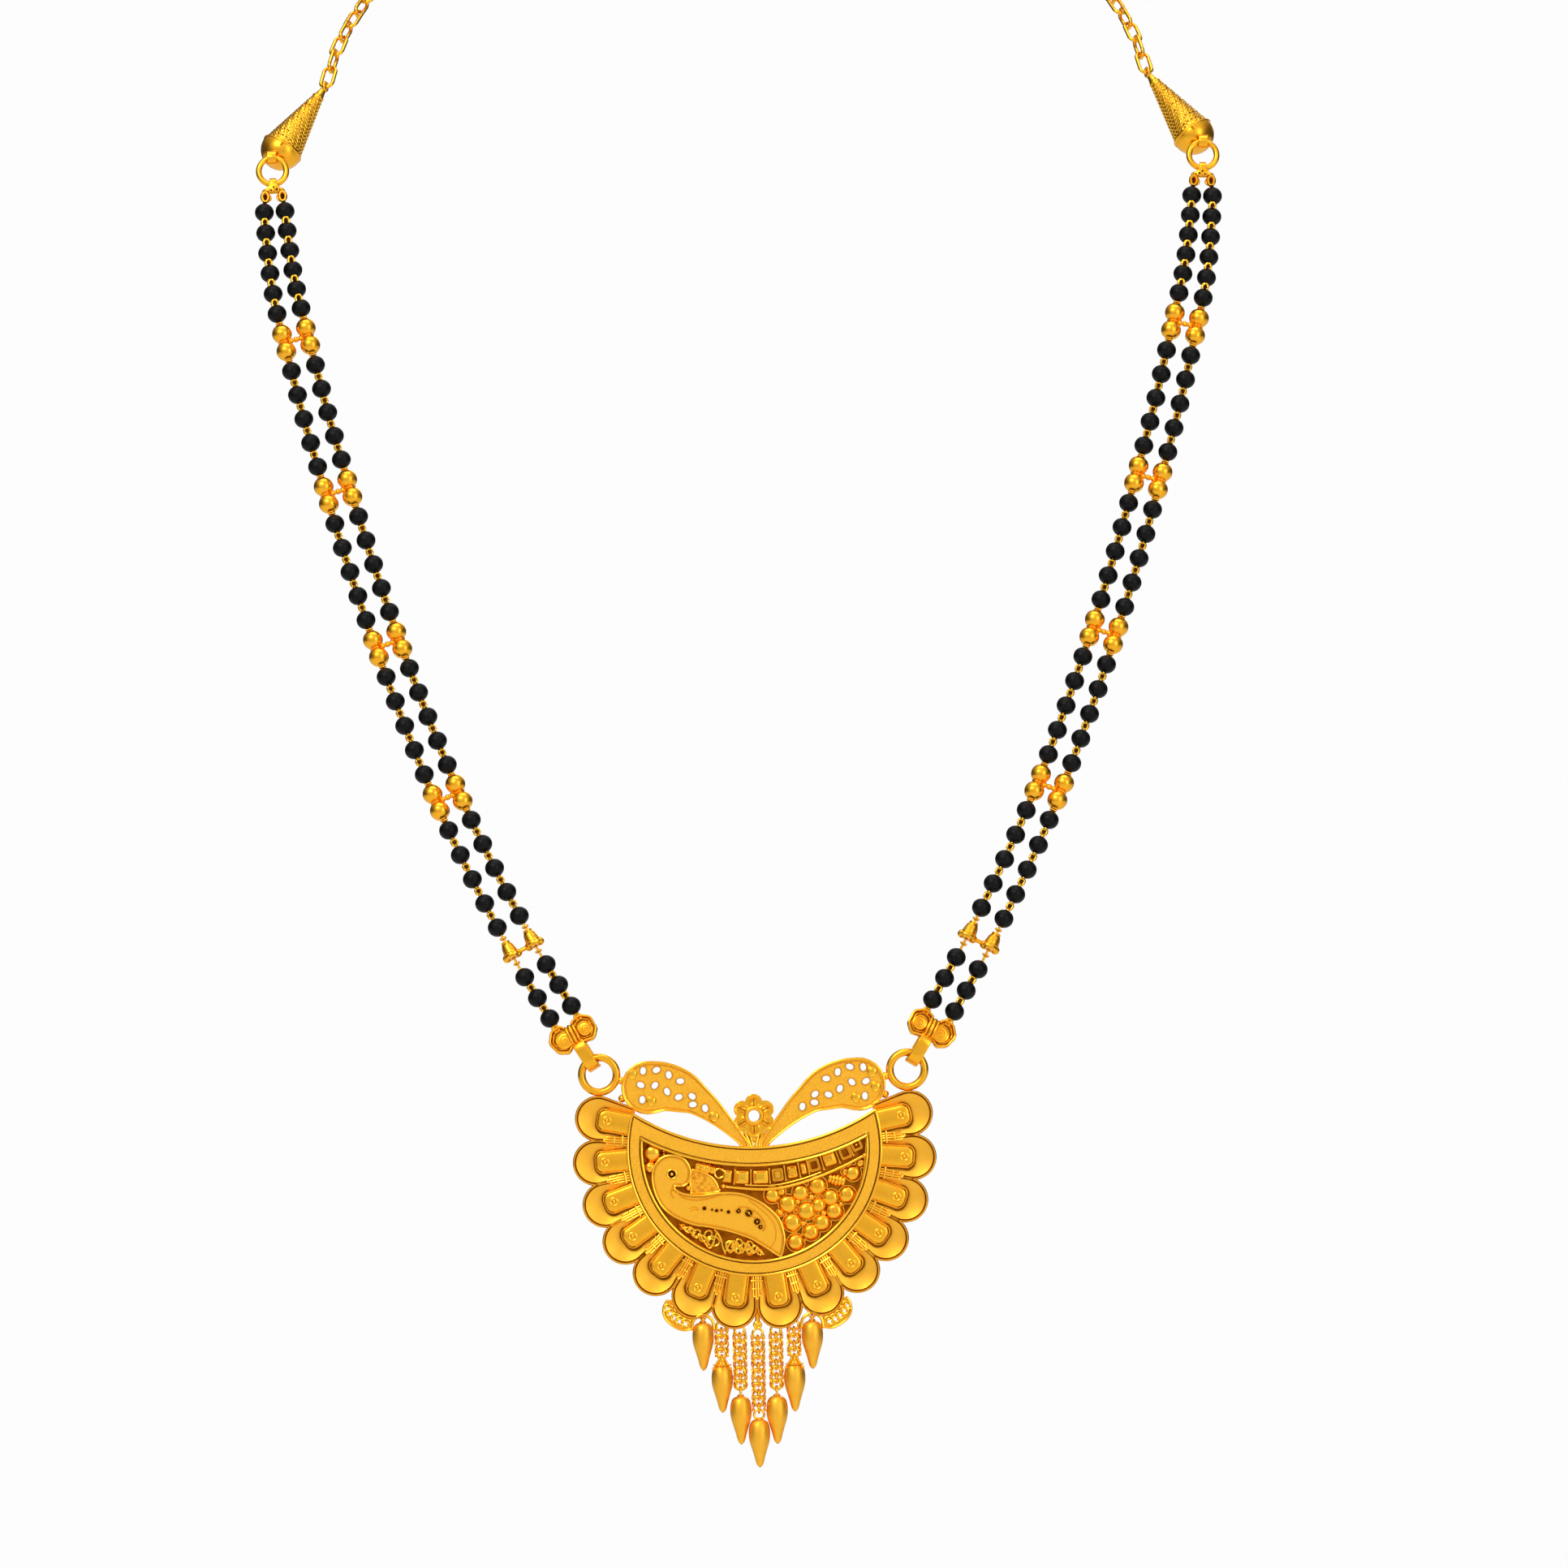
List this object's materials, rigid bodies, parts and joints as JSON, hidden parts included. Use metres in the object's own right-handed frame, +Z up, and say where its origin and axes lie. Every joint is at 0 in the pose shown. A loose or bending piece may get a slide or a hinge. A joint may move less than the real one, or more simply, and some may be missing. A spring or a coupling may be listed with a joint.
{
  "type": "mangalsutra necklace",
  "caption": "Mangalsutra: paired strands of black beads with gold spacers, a crescent peacock pendant with dished petals, tassel drops, cone end caps and a back chain.",
  "frame": {"origin": "the nape, in the middle of the clasp, where the necklace sits on the back of the neck", "axes": "+Z up, the wearer faces -Y, +X is the right-hand side of the front view"},
  "size_m": [0.1566, 0.1084, 0.2568],
  "materials": {
    "gold": "satin gold plate",
    "black_glass": "opaque black glass, soft shine"
  },
  "bodies": {
    "chain": {"bow_left": "gold", "bow_right": "gold", "bell_spacer_left": "gold", "bell_spacer_right": "gold", "ball_spacer_left_1": "gold", "ball_spacer_left_2": "gold", "ball_spacer_left_3": "gold", "ball_spacer_left_4": "gold", "ball_spacer_right_1": "gold", "ball_spacer_right_2": "gold", "ball_spacer_right_3": "gold", "ball_spacer_right_4": "gold", "black_beads_left_outer": "black_glass", "black_beads_left_inner": "black_glass", "black_beads_right_outer": "black_glass", "black_beads_right_inner": "black_glass", "wire_left_outer": "gold", "wire_left_inner": "gold", "wire_right_outer": "gold", "wire_right_inner": "gold", "yoke_left": "gold", "yoke_right": "gold", "cap_ring_left": "gold", "cap_ring_right": "gold", "end_cap_left": "gold", "end_cap_right": "gold", "back_chain_left": "gold", "back_chain_right": "gold", "clasp": "gold"},
    "pendant": {"pendant": "gold", "drop_1": "gold", "drop_2": "gold", "drop_3": "gold", "drop_4": "gold", "drop_5": "gold", "drop_6": "gold", "drop_7": "gold", "tassel_chain_2": "gold", "tassel_chain_3": "gold", "tassel_chain_4": "gold", "tassel_chain_5": "gold", "tassel_chain_6": "gold"}
  },
  "joints": [
    {"name": "pendant_swing", "type": "hinge", "parent": "chain", "child": "pendant", "pos_m": [0, -0.105, -0.18964], "axis": [1, 0, 0], "range_deg": [-40, 40]}
  ]
}
